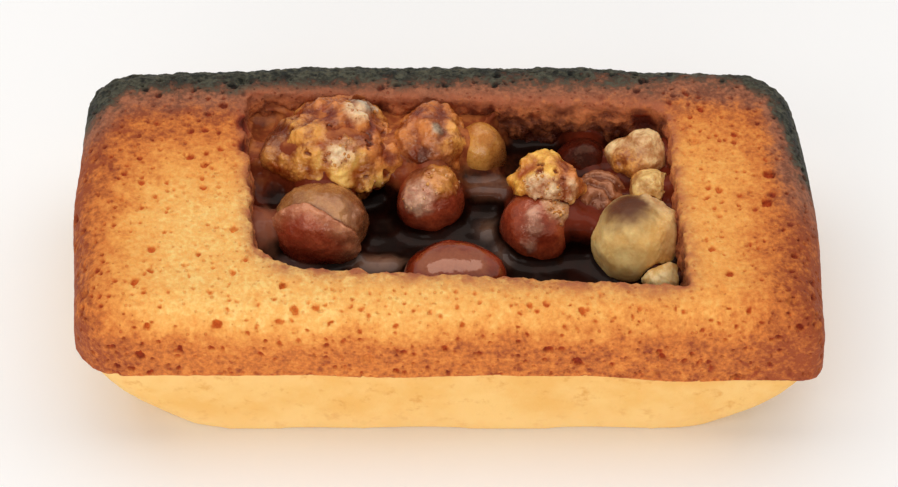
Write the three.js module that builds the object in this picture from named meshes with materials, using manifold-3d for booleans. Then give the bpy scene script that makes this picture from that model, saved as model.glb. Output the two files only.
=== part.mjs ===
// Financier cake with a hollow in its top, filled with caramel and nuts.
// Millimetres, +Z up, +X along the cake and -Y towards its front.
// The origin is the middle of the cake's length and width, on the surface that it stands on.
import * as THREE from "three";
import { ParametricGeometry } from "three/addons/geometries/ParametricGeometry.js";
import { mergeVertices } from "three/addons/utils/BufferGeometryUtils.js";
import Module from "manifold-3d";

const wasm = await Module();
wasm.setup();

// Cake: a browned slab over a paler foot that draws in towards the base.
const cakeLength = 100.6;
const cakeWidth = 50;
const cakeHeight = 25.4;
const rimHeight = 14.5; // the browned slab ends here and overhangs the foot
const rimOverhang = 1.2;
const rimUndercut = 0.4;
const slabDraft = 0.3; // the slab's sides lean in this far
const topEdgeRadius = 5.5;
const rightEndSlant = 1.8; // the back right corner falls this far short
const leftEndSlant = 0.9; // and the back left one stands this far out
const slabBulges = [0.3, 1, 1.6, 0.8]; // front, right, back and left sides bow out
const slabCornerRadii = [7, 3, 8, 6]; // front left, front right, back right, back left
const smallestSlabCorner = 2;
const footEndInset = 7; // from the rim to the base, at each end
const footSideInset = 3;
const footOffset = -1; // the base sits a little to the left
const footCornerGrowth = 8; // the corners open out towards the base
const footCurve = 1.5; // above 1, the foot's sides round under
const footCornerCurve = 2;
const footLevels = [1, 0.88, 0.7, 0.48, 0.24, 0]; // shares of the way down from the rim
const sideLevels = [0, 0.5, 1];
const shoulderSteps = 4;
const flatShares = [0.33, 0.67];

// The crust swells and dips: height, and waves along and across the cake in radians per millimetre.
const crustSwell = 0.2;
const crustWaves = { along: 0.19, across: 0.23, acrossShift: 1.3, up: 0.2, slant: 0.33, slantShare: 0.6 };

// Hollow: hand-cut, so its four corners are set one by one, from the front left.
const hollowCorners = [
  [-25.8, -15.6],
  [32, -19.6],
  [29.8, 15.2],
  [-28.2, 17.8],
];
const hollowCornerRadii = [7.5, 1.6, 2.2, 1.8];
const smallestHollowCorner = 1;
const hollowDepth = 14;
const hollowEdgeRadius = 0.6;
const hollowDraft = 0.8;

// Burst bubbles in the crust: the largest ones.
const pitCount = 18;
const pitRadii = [0.5, 0.95];
const pitStretch = 1.25; // along X
const pitDetail = 1;
const pitMargin = 0.6; // rings left clear at the rim and at the hollow
const pitSeed = 3;

// Filling.
const gap = 0.3; // clearance between neighbouring pieces
const socketEase = 0.2; // extra in the caramel, whose sockets have larger facets than the nuts
const caramelLevel = 15.4;
const caramelBackRise = 2.4; // it climbs towards the back wall
const caramelSwell = 0.5; // and rises and dips by this much
const caramelWaves = { along: 0.33, alongShift: 0.8, across: 0.4 };
const caramelShares = [0, 0.4, 0.75, 1]; // from its edge to its middle

// Nuts, from the ones that keep their full shape to the ones that fit round them.
// Each has its middle and half sizes, and some a pose: degrees about +Z, after degrees about +Y.
const nuts = [
  { name: "hazelnut_front", kind: "hazelnut", at: [0.4, -10.2, 17.2], half: [7, 5.7, 5.5], pose: [8, 75] },
  { name: "hazelnut_split", kind: "split", at: [-17.5, -0.4, 18.4], half: [7.5, 6.3, 6.1] },
  { name: "hazelnut_right", kind: "hazelnut", at: [12, -0.4, 17.2], half: [5.2, 5.5, 5.6], pose: [20, 35] },
  { name: "blanched_nut", kind: "blanched", at: [25.4, -4, 18.4], half: [6.1, 6.2, 6.4] },
  { name: "hazelnut_centre", kind: "hazelnut", at: [-2.6, 4, 17.8], half: [4.8, 5, 5.4], pose: [0, 15] },
  { name: "hazelnut_side", kind: "hazelnut", at: [20.4, 3.8, 16.4], half: [4.6, 4.8, 4.7], pose: [60, 50] },
  { name: "hazelnut_back", kind: "hazelnut", at: [18.6, 11.6, 16.8], half: [4.2, 4, 4.4], pose: [-30, 20] },
  { name: "almond", kind: "almond", at: [4.2, 11.6, 18.7], half: [3.4, 2.9, 5.3], pose: [25, 12] },
  { name: "praline_left", kind: "crumb", at: [-15.9, 10.6, 21], half: [9.6, 7.9, 7.5], detail: 4 },
  { name: "praline_centre", kind: "crumb", at: [-2.6, 11.4, 21.6], half: [5.4, 5, 5.7] },
  { name: "praline_right", kind: "crumb", at: [13.4, 3.6, 21.2], half: [4.9, 4.9, 4.5] },
  { name: "nut_piece", kind: "crumb", at: [26.3, 10, 20], half: [4.4, 3.8, 4.6] },
  { name: "nut_chip", kind: "crumb", at: [28.1, 3.8, 19.7], half: [3.6, 3.5, 3.7], detail: 2 },
  { name: "nut_flake", kind: "crumb", at: [28.7, -10.3, 17.7], half: [3.1, 2.3, 2.2], detail: 2 },
];
const nutDetail = { hazelnut: 3, split: 4, blanched: 4, almond: 3, crumb: 3 };
const socketDetail = { hazelnut: 2, blanched: 2, almond: 2 };

// Forms of the nuts. Heights and depths are shares of the half size, and the rest is on a ball of radius 1.
const hazelnutTip = { height: 0.1, sharpness: 6 };
const hazelnutScar = { depth: 0.09, sharpness: 8 };
const hazelnutRibs = { count: 9, height: 0.012 };
const peel = {
  facing: [0.3, 0.95, 0],
  depth: 0.08,
  edge: [-0.45, -0.33],
  waveHeight: 0.08,
  waves: [4.8, 0.5],
};
const almondTip = { height: 0.1, sharpness: 5 };
const almondFlatness = 0.04;
const facet = { facing: [0.62, -0.62, -0.48], depth: 0.14, edge: [0.72, 0.98] };
const cleft = { across: [0.65, 0.3, -0.64], depth: 0.1, width: 0.1 };
const crags = { count: 16, height: 0.16, dip: 0.7, spread: 0.33, core: 0.94, seed: 5 };

// Colours are sRGB.
const finishes = {
  cake: { color: "#d8924a", roughness: 0.85 },
  caramel: { color: "#4a1a0c", roughness: 0.15 },
  hazelnut: { color: "#6e2c17", roughness: 0.25 },
  split: { color: "#7c3d20", roughness: 0.3 },
  blanched: { color: "#c9a663", roughness: 0.45 },
  almond: { color: "#b98339", roughness: 0.4 },
  crumb: { color: "#cf8c3f", roughness: 0.6 },
};

// Steps along each side and round each corner of an outline, so that all outlines join step by step.
const longSideSteps = 20;
const shortSideSteps = 10;
const cornerSteps = 5;
const stretches = [
  longSideSteps, cornerSteps, shortSideSteps, cornerSteps,
  longSideSteps, cornerSteps, shortSideSteps, cornerSteps,
];
const outlineSteps = stretches.reduce((sum, steps) => sum + steps, 0);

const { clamp, degToRad, lerp, smoothstep } = THREE.MathUtils;

// A repeatable draw from 0 to 1 for whole numbers.
function draw(index, seed) {
  const mixed = Math.sin(index * 127.1 + seed * 311.7) * 43758.5453;
  return mixed - Math.floor(mixed);
}

function cornersOf(halfLength, halfWidth) {
  return [
    [-halfLength, -halfWidth],
    [halfLength, -halfWidth],
    [halfLength, halfWidth],
    [-halfLength, halfWidth],
  ];
}

function middleOf(corners) {
  return [0, 1].map((axis) => corners.reduce((sum, corner) => sum + corner[axis], 0) / corners.length);
}

// Moves four corners in towards their middle, along X and along Y.
function insetCorners(corners, alongX, alongY) {
  const [middleX, middleY] = middleOf(corners);
  return corners.map(([x, y]) => [
    x - Math.sign(x - middleX) * alongX,
    y - Math.sign(y - middleY) * alongY,
  ]);
}

// The arc that rounds the corner between two sides.
function cornerArc(before, corner, after, radius) {
  const point = new THREE.Vector2(...corner);
  const back = new THREE.Vector2(...before).sub(point).normalize();
  const ahead = new THREE.Vector2(...after).sub(point).normalize();
  const halfAngle = Math.acos(clamp(back.dot(ahead), -1, 1)) / 2;
  const tangent = radius / Math.tan(halfAngle);
  const inwards = back.clone().add(ahead).normalize();
  const centre = point.clone().addScaledVector(inwards, radius / Math.sin(halfAngle));
  const start = point.clone().addScaledVector(back, tangent);
  const end = point.clone().addScaledVector(ahead, tangent);
  return { centre, start, end, sweep: Math.PI - 2 * halfAngle };
}

// An outline with rounded corners, as a function from step to point, anticlockwise from the front side.
// Each bulge bows its side out: front, right, back and left.
function outline(corners, radii, bulges = [0, 0, 0, 0]) {
  const arcs = corners.map((corner, i) =>
    cornerArc(corners[(i + 3) % 4], corner, corners[(i + 1) % 4], radii[i]));
  return (step) => {
    let rest = step % outlineSteps;
    let stretch = 0;
    while (rest >= stretches[stretch]) {
      rest -= stretches[stretch];
      stretch += 1;
    }
    const share = rest / stretches[stretch];
    const side = Math.floor(stretch / 2);
    const next = arcs[(side + 1) % 4];
    if (stretch % 2 === 1) {
      const spoke = next.start.clone().sub(next.centre);
      return spoke.rotateAround(new THREE.Vector2(), share * next.sweep).add(next.centre);
    }
    const from = arcs[side].end;
    const along = next.start.clone().sub(from);
    const outward = new THREE.Vector2(along.y, -along.x).normalize();
    const bow = bulges[side] * 4 * share * (1 - share);
    return from.clone().addScaledVector(along, share).addScaledVector(outward, bow);
  };
}

// Rings are functions from step to a point in space.
// A solid is a stack of them, closed by a point at each end.
function levelRing(points, height) {
  return (step) => {
    const p = points(step);
    return new THREE.Vector3(p.x, p.y, height);
  };
}

function ringBetween(first, second, share) {
  return (step) => first(step).lerp(second(step), share);
}

function endPoint(x, y, z) {
  return () => new THREE.Vector3(x, y, z);
}

function stackGeometry(rings) {
  const last = rings.length - 1;
  const surface = (u, v, target) => target.copy(rings[Math.round(v * last)](Math.round(u * outlineSteps)));
  return new ParametricGeometry(surface, outlineSteps, last);
}

// Turns a geometry into a solid that can be cut and joined, and back.
function solidFrom(geometry) {
  const bare = new THREE.BufferGeometry();
  bare.setAttribute("position", geometry.getAttribute("position"));
  if (geometry.index) bare.setIndex(geometry.index);
  const merged = mergeVertices(bare, 1e-4);
  const mesh = new wasm.Mesh({
    numProp: 3,
    vertProperties: new Float32Array(merged.attributes.position.array),
    triVerts: new Uint32Array(merged.index.array),
  });
  return new wasm.Manifold(mesh);
}

function geometryFrom(solid) {
  const mesh = solid.getMesh();
  const geometry = new THREE.BufferGeometry();
  geometry.setAttribute("position", new THREE.BufferAttribute(new Float32Array(mesh.vertProperties), 3));
  geometry.setIndex(new THREE.BufferAttribute(new Uint32Array(mesh.triVerts), 1));
  geometry.computeVertexNormals();
  return geometry;
}

function largestPiece(solid) {
  return solid.decompose().reduce((best, piece) => (piece.volume() > best.volume() ? piece : best));
}

// Cake.

const rimCorners = cornersOf(cakeLength / 2, cakeWidth / 2);
rimCorners[2][0] -= rightEndSlant;
rimCorners[3][0] -= leftEndSlant;

// Moves a ring with the crust's swells and dips. The base stays flat.
function uneven(ring) {
  const { along, across, acrossShift, up, slant, slantShare } = crustWaves;
  return (step) => {
    const p = ring(step);
    const grid = Math.sin(p.x * along + p.z * up) * Math.sin(p.y * across + acrossShift);
    const wave = grid + slantShare * Math.sin((p.x + p.y) * slant);
    const outward = new THREE.Vector3(p.x / cakeLength, p.y / cakeWidth, p.z / cakeHeight - 0.5).normalize();
    if (p.z === 0) outward.z = 0;
    return p.addScaledVector(outward, (wave - 1) * crustSwell);
  };
}

function slabRing(inset, height) {
  const radii = slabCornerRadii.map((radius) => Math.max(radius - inset / 2, smallestSlabCorner));
  return uneven(levelRing(outline(insetCorners(rimCorners, inset, inset), radii, slabBulges), height));
}

// The foot, from the rim (share 0) to the base (share 1).
function footRing(share) {
  const lean = share ** footCurve;
  const alongX = rimOverhang + (footEndInset - rimOverhang) * lean;
  const alongY = rimOverhang + (footSideInset - rimOverhang) * lean;
  const radii = slabCornerRadii.map((radius) => radius + footCornerGrowth * share ** footCornerCurve);
  const bulges = slabBulges.map((bulge) => bulge * (1 - share));
  const corners = insetCorners(rimCorners, alongX, alongY).map(([x, y]) => [x + footOffset * share, y]);
  return uneven(levelRing(outline(corners, radii, bulges), (rimHeight - rimUndercut) * (1 - share)));
}

function hollowRing(inset, height) {
  const radii = hollowCornerRadii.map((radius) => Math.max(radius - inset / 2, smallestHollowCorner));
  return levelRing(outline(insetCorners(hollowCorners, inset, inset), radii), height);
}

const hollowMiddle = middleOf(hollowCorners);
const hollowFloor = cakeHeight - hollowDepth;

function crustRings() {
  const shoulderHeight = cakeHeight - topEdgeRadius;
  const sides = sideLevels.map((share) =>
    slabRing(slabDraft * share, rimHeight + (shoulderHeight - rimHeight) * share));
  const shoulder = Array.from({ length: shoulderSteps }, (_, i) => {
    const angle = ((i + 1) / shoulderSteps) * (Math.PI / 2);
    const inset = slabDraft + topEdgeRadius * (1 - Math.cos(angle));
    return slabRing(inset, shoulderHeight + topEdgeRadius * Math.sin(angle));
  });
  const lip = hollowRing(-hollowEdgeRadius, cakeHeight);
  const flat = flatShares.map((share) => ringBetween(shoulder.at(-1), lip, share));
  return [...sides, ...shoulder, ...flat, lip];
}

function hollowRings() {
  const softening = hollowEdgeRadius * (1 - Math.SQRT1_2);
  return [
    hollowRing(-softening, cakeHeight - softening),
    hollowRing(0, cakeHeight - hollowEdgeRadius),
    hollowRing(hollowDraft, hollowFloor),
    endPoint(...hollowMiddle, hollowFloor),
  ];
}

// Bubbles lie on the crust: evenly round it, and at a drawn height between the rim and the hollow.
function bubbles(rings) {
  const golden = (Math.sqrt(5) - 1) / 2;
  return Array.from({ length: pitCount }, (_, i) => {
    const step = (i * golden * outlineSteps) % outlineSteps;
    const level = pitMargin + draw(i, pitSeed) * (rings.length - 1 - 2 * pitMargin);
    const below = Math.floor(level);
    const middle = ringBetween(rings[below], rings[below + 1], level - below)(step);
    const radius = lerp(...pitRadii, draw(i, pitSeed + 1) ** 2);
    const ball = new THREE.IcosahedronGeometry(radius, pitDetail);
    ball.scale(pitStretch, 1, 1);
    ball.translate(...middle);
    return solidFrom(ball);
  });
}

function cakeSolid() {
  const foot = footLevels.map(footRing);
  const crust = crustRings();
  const body = solidFrom(stackGeometry([endPoint(0, 0, 0), ...foot, ...crust, ...hollowRings()]));
  return bubbles(crust).reduce((cake, ball) => cake.subtract(ball), body);
}

// Filling.

// The room inside the hollow, clear of its walls and floor, up to any height.
function hollowRoom(top) {
  return solidFrom(stackGeometry([
    endPoint(...hollowMiddle, hollowFloor + gap),
    hollowRing(hollowDraft + gap, hollowFloor + gap),
    hollowRing(gap, cakeHeight),
    hollowRing(gap, top),
    endPoint(...hollowMiddle, top),
  ]));
}

function caramelHeight(x, y) {
  const { along, alongShift, across } = caramelWaves;
  const swell = Math.sin(x * along + alongShift) * Math.cos(y * across);
  return caramelLevel + caramelSwell * swell + caramelBackRise * smoothstep(y, 0, cakeWidth / 3);
}

function caramelPool() {
  const wall = hollowRing(hollowDraft + gap, hollowFloor + gap);
  const middle = endPoint(...hollowMiddle, hollowFloor + gap);
  const surface = caramelShares.map((share) => (step) => {
    const p = ringBetween(wall, middle, share)(step);
    return p.setZ(caramelHeight(p.x, p.y));
  });
  return solidFrom(stackGeometry([middle, wall, ...surface]));
}

function facingOf(numbers) {
  return new THREE.Vector3(...numbers).normalize();
}

// Directions spread evenly over a ball.
function spreadDirections(count, turned) {
  return Array.from({ length: count }, (_, i) => {
    const height = 1 - (2 * (i + 0.5)) / count;
    const turn = i * Math.PI * (3 - Math.sqrt(5)) + turned;
    const reach = Math.sqrt(1 - height * height);
    return new THREE.Vector3(reach * Math.cos(turn), reach * Math.sin(turn), height);
  });
}

// How far a nut's skin lies from its middle along a direction, as a share of its half size.
const nutForms = {
  hazelnut: () => (d) => {
    const tip = hazelnutTip.height * Math.max(d.z, 0) ** hazelnutTip.sharpness;
    const scar = hazelnutScar.depth * Math.max(-d.z, 0) ** hazelnutScar.sharpness;
    const ribs = hazelnutRibs.height * Math.cos(hazelnutRibs.count * Math.atan2(d.y, d.x));
    return 1 + tip - scar + ribs * (1 - d.z * d.z);
  },
  split: () => {
    const facing = facingOf(peel.facing);
    return (d) => {
      const wave = Math.sin(peel.waves[0] * d.x + peel.waves[1] * d.y);
      return 1 - peel.depth * smoothstep(d.dot(facing) + peel.waveHeight * wave, ...peel.edge);
    };
  },
  blanched: () => {
    const flatFacing = facingOf(facet.facing);
    const cleftFacing = facingOf(cleft.across);
    return (d) => {
      const flat = facet.depth * smoothstep(d.dot(flatFacing), ...facet.edge);
      const groove = cleft.depth * Math.exp(-((d.dot(cleftFacing) / cleft.width) ** 2));
      return 1 - flat - groove * Math.max(-d.y, 0);
    };
  },
  almond: () => (d) => {
    const tip = almondTip.height * Math.max(d.z, 0) ** almondTip.sharpness;
    return 1 + tip - almondFlatness * Math.cos(2 * Math.atan2(d.y, d.x));
  },
  crumb: (index) => {
    const directions = spreadDirections(crags.count, index);
    const heights = directions.map((_, i) => crags.height * (2 * draw(i, index + crags.seed) - crags.dip));
    return (d) => directions.reduce((reach, crag, i) => {
      const away = Math.acos(clamp(d.dot(crag), -1, 1));
      return reach + heights[i] * Math.exp(-((away / crags.spread) ** 2));
    }, crags.core);
  },
};

// A nut in its place, grown all round.
function nutSolid(nut, index, grow, detail = nut.detail ?? nutDetail[nut.kind]) {
  const [turn, tilt] = nut.pose ?? [0, 0];
  const pose = new THREE.Quaternion().setFromEuler(new THREE.Euler(0, degToRad(tilt), degToRad(turn), "ZYX"));
  const unposed = pose.clone().invert();
  const middle = new THREE.Vector3(...nut.at);
  const half = new THREE.Vector3(...nut.half).addScalar(grow);
  const reach = nutForms[nut.kind](index);
  const geometry = new THREE.IcosahedronGeometry(1, detail);
  const skin = geometry.getAttribute("position");
  for (let i = 0; i < skin.count; i += 1) {
    const direction = new THREE.Vector3().fromBufferAttribute(skin, i).normalize();
    const share = reach(direction.clone().applyQuaternion(unposed));
    const p = direction.multiply(half).multiplyScalar(share).add(middle);
    skin.setXYZ(i, p.x, p.y, p.z);
  }
  return solidFrom(geometry);
}

// Each nut gives way to those before it in the list, and all stay clear of the hollow's walls.
function fittedNuts() {
  const room = hollowRoom(cakeHeight * 2);
  const taken = [];
  return nuts.map((nut, index) => {
    const whole = nutSolid(nut, index, 0).intersect(room);
    const fitted = taken.reduce((solid, other) => solid.subtract(other), whole);
    taken.push(nutSolid(nut, index, gap));
    return { name: nut.name, finish: finishes[nut.kind], at: nut.at, solid: largestPiece(fitted) };
  });
}

function fittedCaramel() {
  const sockets = nuts.map((nut, index) => nutSolid(nut, index, gap + socketEase, socketDetail[nut.kind]));
  return largestPiece(sockets.reduce((pool, socket) => pool.subtract(socket), caramelPool()));
}

// Assembly.

const pieces = [
  { name: "cake", finish: finishes.cake, at: [0, 0, 0], solid: cakeSolid() },
  { name: "caramel", finish: finishes.caramel, at: [...hollowMiddle, hollowFloor], solid: fittedCaramel() },
  ...fittedNuts(),
];
const whole = new THREE.Group();
for (const { name, finish, at, solid } of pieces) {
  const material = new THREE.MeshStandardMaterial({ ...finish, metalness: 0 });
  const mesh = new THREE.Mesh(geometryFrom(solid.translate(at.map((x) => -x))), material);
  mesh.name = name;
  mesh.position.set(...at);
  whole.add(mesh);
}

// The origin goes to the middle of the cake's length and width.
const middle = new THREE.Box3().setFromObject(whole, true).getCenter(new THREE.Vector3());
whole.position.set(-middle.x, -middle.y, 0);
const financier = new THREE.Group();
financier.add(whole);

export default financier;
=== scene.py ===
import math

import bmesh
import bpy
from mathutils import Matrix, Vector


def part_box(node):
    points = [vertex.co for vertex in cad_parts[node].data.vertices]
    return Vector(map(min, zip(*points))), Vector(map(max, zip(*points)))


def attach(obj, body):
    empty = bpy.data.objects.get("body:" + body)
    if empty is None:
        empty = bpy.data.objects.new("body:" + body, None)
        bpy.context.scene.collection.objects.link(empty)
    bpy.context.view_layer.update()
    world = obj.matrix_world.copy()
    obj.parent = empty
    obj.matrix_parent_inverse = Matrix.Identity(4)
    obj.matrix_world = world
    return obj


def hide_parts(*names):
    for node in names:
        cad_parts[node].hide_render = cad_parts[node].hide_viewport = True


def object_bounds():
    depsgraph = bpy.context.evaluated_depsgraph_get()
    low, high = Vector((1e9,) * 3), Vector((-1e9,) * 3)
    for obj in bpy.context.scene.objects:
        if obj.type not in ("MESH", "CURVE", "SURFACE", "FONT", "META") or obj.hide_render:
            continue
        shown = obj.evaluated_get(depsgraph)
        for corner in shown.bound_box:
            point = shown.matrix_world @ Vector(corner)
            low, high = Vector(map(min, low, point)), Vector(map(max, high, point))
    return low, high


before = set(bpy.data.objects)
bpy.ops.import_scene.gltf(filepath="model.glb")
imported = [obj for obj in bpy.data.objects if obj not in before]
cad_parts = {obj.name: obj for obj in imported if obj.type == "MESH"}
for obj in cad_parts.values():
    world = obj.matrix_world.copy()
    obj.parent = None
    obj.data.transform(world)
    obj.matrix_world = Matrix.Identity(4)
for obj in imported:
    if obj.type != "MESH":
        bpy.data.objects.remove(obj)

cadLow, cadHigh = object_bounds()
millimetre = 0.001
print("frame loaded")


def screenColour(red, green, blue):
    # a colour as seen on a screen, 0 to 255, as the shader's linear colour
    shares = [channel / 255 for channel in (red, green, blue)]
    linear = [s / 12.92 if s <= 0.04045 else ((s + 0.055) / 1.055) ** 2.4 for s in shares]
    return (*linear, 1.0)


def addNode(tree, kind, values=None, **settings):
    node = tree.nodes.new(kind)
    for setting, choice in settings.items():
        setattr(node, setting, choice)
    for socket, value in (values or {}).items():
        if isinstance(value, bpy.types.NodeSocket):
            tree.links.new(value, node.inputs[socket])
        else:
            node.inputs[socket].default_value = value
    return node


def maths(tree, operation, *values):
    return addNode(tree, "ShaderNodeMath", dict(enumerate(values)), operation=operation).outputs[0]


def plus(tree, first, second):
    return maths(tree, "ADD", first, second)


def minus(tree, first, second):
    return maths(tree, "SUBTRACT", first, second)


def times(tree, first, second):
    return maths(tree, "MULTIPLY", first, second)


def timesPlus(tree, first, second, added):
    return maths(tree, "MULTIPLY_ADD", first, second, added)


def larger(tree, first, second):
    return maths(tree, "MAXIMUM", first, second)


def either(tree, first, second):
    # one mask or the other, without a seam where they meet
    return timesPlus(tree, second, minus(tree, 1.0, first), first)


def vectors(tree, operation, *values):
    node = addNode(tree, "ShaderNodeVectorMath", dict(enumerate(values)), operation=operation)
    return node.outputs["Value" if operation in ("DOT_PRODUCT", "LENGTH") else "Vector"]


def scaled(tree, vector, factor):
    return addNode(tree, "ShaderNodeVectorMath", {0: vector, "Scale": factor}, operation="SCALE").outputs[0]


def softStep(tree, value, low, high, start=0.0, end=1.0):
    # goes smoothly from start to end as value goes from low to high
    values = {"Value": value, "From Min": low, "From Max": high, "To Min": start, "To Max": end}
    return addNode(tree, "ShaderNodeMapRange", values, interpolation_type="SMOOTHSTEP").outputs[0]


def noiseNode(tree, place, scale, detail=2.0, roughness=0.5):
    values = {"Vector": place, "Scale": scale, "Detail": detail, "Roughness": roughness}
    return addNode(tree, "ShaderNodeTexNoise", values)


def noise(tree, *settings):
    return noiseNode(tree, *settings).outputs[0]


def wobble(tree, *settings):
    # noise that goes up and down about zero
    return minus(tree, noise(tree, *settings), 0.5)


def wobbleVector(tree, *settings):
    return vectors(tree, "SUBTRACT", noiseNode(tree, *settings).outputs["Color"], (0.5, 0.5, 0.5))


def cells(tree, place, scale, feature="F1"):
    return addNode(tree, "ShaderNodeTexVoronoi", {"Vector": place, "Scale": scale}, feature=feature)


def asColour(tone):
    # a screen colour for the shader; what comes out of a node stays as it is
    return tone if isinstance(tone, bpy.types.NodeSocket) else screenColour(*tone)


def mixed(tree, share, first, second, blend="MIX"):
    values = {0: share, 6: asColour(first), 7: asColour(second)}
    return addNode(tree, "ShaderNodeMix", values, data_type="RGBA", blend_type=blend).outputs[2]


def tinted(tree, share, colour, tint):
    return mixed(tree, share, colour, tint, "MULTIPLY")


def axesOf(tree, vector):
    return addNode(tree, "ShaderNodeSeparateXYZ", {0: vector}).outputs


def attribute(tree, name):
    return addNode(tree, "ShaderNodeAttribute", attribute_name=name).outputs["Fac"]


def newObject(name, data):
    made = bpy.data.objects.new(name, data)
    bpy.context.scene.collection.objects.link(made)
    return made


def newPiece(work, name):
    # the mesh that was worked on, as a piece
    mesh = bpy.data.meshes.new(name)
    work.to_mesh(mesh)
    work.free()
    return newObject(name, mesh)


def takeInto(work, part):
    # adds a part's faces to the mesh that is worked on, and drops the part
    mesh = part.data
    work.from_mesh(mesh)
    bpy.data.objects.remove(part)
    bpy.data.meshes.remove(mesh)


def mergedCopy(nodeName, pieceName):
    # a CAD node's loose triangles, welded
    work = bmesh.new()
    work.from_mesh(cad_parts[nodeName].data)
    bmesh.ops.remove_doubles(work, verts=work.verts, dist=0.001 * millimetre)
    return newPiece(work, pieceName)


def cutAway(piece, point, outward):
    # takes off what lies beyond a plane, and closes the piece again
    work = bmesh.new()
    work.from_mesh(piece.data)
    parts = work.verts[:] + work.edges[:] + work.faces[:]
    made = bmesh.ops.bisect_plane(work, geom=parts, plane_co=point, plane_no=outward, clear_outer=True)
    rim = [part for part in made["geom_cut"] if isinstance(part, bmesh.types.BMEdge)]
    bmesh.ops.triangle_fill(work, use_beauty=True, edges=rim)
    bmesh.ops.recalc_face_normals(work, faces=work.faces)
    work.to_mesh(piece.data)
    work.free()


def settle(piece):
    # keeps what the modifiers made, and drops them
    graph = bpy.context.evaluated_depsgraph_get()
    shown = piece.evaluated_get(graph)
    made = bpy.data.meshes.new_from_object(shown, preserve_all_data_layers=True, depsgraph=graph)
    piece.modifiers.clear()
    before = piece.data
    piece.data = made
    bpy.data.meshes.remove(before)
    piece.data.name = piece.name
    piece.data.shade_smooth()


def fineSkin(piece, grain, rounds):
    # an even skin of small faces over the piece, its creases softened
    skin = piece.modifiers.new("skin", "REMESH")
    skin.mode = "VOXEL"
    skin.voxel_size = grain * millimetre
    soften = piece.modifiers.new("soften", "SMOOTH")
    soften.iterations = rounds
    settle(piece)


def triangleCount(mesh):
    return sum(len(face.vertices) - 2 for face in mesh.polygons)


def addThinning(piece, triangles):
    count = triangleCount(piece.data)
    if count > triangles:
        thin = piece.modifiers.new("thin", "DECIMATE")
        thin.ratio = triangles / count


def thinned(piece, finish, triangles):
    addThinning(piece, triangles)
    settle(piece)
    piece.data.materials.clear()
    piece.data.materials.append(finish)
    print(piece.name, "triangles", triangleCount(piece.data))


def shaped(piece, tree, values, triangles):
    # the tree's shape on the piece, thinned to at most that many triangles
    modifier = piece.modifiers.new(tree.name, "NODES")
    modifier.node_group = tree
    for item in tree.interface.items_tree:
        if item.in_out == "INPUT" and item.name in values:
            modifier[item.identifier] = values[item.name]
    addThinning(piece, triangles)
    settle(piece)
    print(piece.name, "triangles", triangleCount(piece.data))


def newTree(name, controls):
    tree = bpy.data.node_groups.new(name, "GeometryNodeTree")
    tree.interface.new_socket("Geometry", in_out="INPUT", socket_type="NodeSocketGeometry")
    for control, kind in controls.items():
        tree.interface.new_socket(control, in_out="INPUT", socket_type="NodeSocket" + kind)
    tree.interface.new_socket("Geometry", in_out="OUTPUT", socket_type="NodeSocketGeometry")
    return tree, addNode(tree, "NodeGroupInput").outputs


def stored(tree, geometry, name, value):
    values = {"Geometry": geometry, "Name": name, "Value": value}
    node = addNode(tree, "GeometryNodeStoreNamedAttribute", values, data_type="FLOAT", domain="POINT")
    return node.outputs[0]


def closeTree(tree, geometry, finish):
    whole = addNode(tree, "GeometryNodeRealizeInstances", {"Geometry": geometry}).outputs[0]
    dressed = addNode(tree, "GeometryNodeSetMaterial", {"Geometry": whole, "Material": finish}).outputs[0]
    addNode(tree, "NodeGroupOutput", {"Geometry": dressed})


def millimetrePlace(tree):
    place = addNode(tree, "GeometryNodeInputPosition").outputs[0]
    return scaled(tree, place, 1 / millimetre)


def moved(tree, geometry, offset):
    return addNode(tree, "GeometryNodeSetPosition", {"Geometry": geometry, "Offset": offset}).outputs[0]


def pushed(tree, geometry, height):
    # moves the surface out along its normal by a height in millimetres
    normal = addNode(tree, "GeometryNodeInputNormal").outputs[0]
    return moved(tree, geometry, scaled(tree, scaled(tree, normal, height), millimetre))


def blurred(tree, value, rounds):
    return addNode(tree, "GeometryNodeBlurAttribute", {"Value": value, "Iterations": rounds}).outputs[0]


def bubbleDepth(tree, place, spacing, smallest, largest):
    # round hollows where bubbles of mixed sizes open at the surface, in millimetres
    bubble = cells(tree, place, 1 / spacing)
    away = times(tree, bubble.outputs["Distance"], spacing)
    chance = axesOf(tree, bubble.outputs["Color"])[0]
    radius = softStep(tree, chance, 0.0, 1.0, smallest, largest)
    share = maths(tree, "DIVIDE", away, radius)
    bowl = minus(tree, 1.0, times(tree, share, share))
    steep = maths(tree, "POWER", larger(tree, bowl, 0.0), 0.7)
    return times(tree, radius, steep)


def newMaterial(name):
    material = bpy.data.materials.new(name)
    material.use_nodes = True
    tree = material.node_tree
    return material, tree, tree.nodes["Principled BSDF"]


def bumpy(tree, height, strength, depth):
    # small relief, its depth in millimetres
    values = {"Height": height, "Strength": strength, "Distance": depth * millimetre}
    return addNode(tree, "ShaderNodeBump", values).outputs[0]


def setFinish(tree, shader, **values):
    # values and what comes out of nodes, for the shader's sockets
    for name, value in values.items():
        socket = shader.inputs[name.replace("_", " ")]
        if isinstance(value, bpy.types.NodeSocket):
            tree.links.new(value, socket)
        else:
            socket.default_value = value


def objectPlace(tree):
    # the place on the piece, in millimetres
    place = addNode(tree, "ShaderNodeTexCoord").outputs["Object"]
    return scaled(tree, place, 1 / millimetre)


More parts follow.
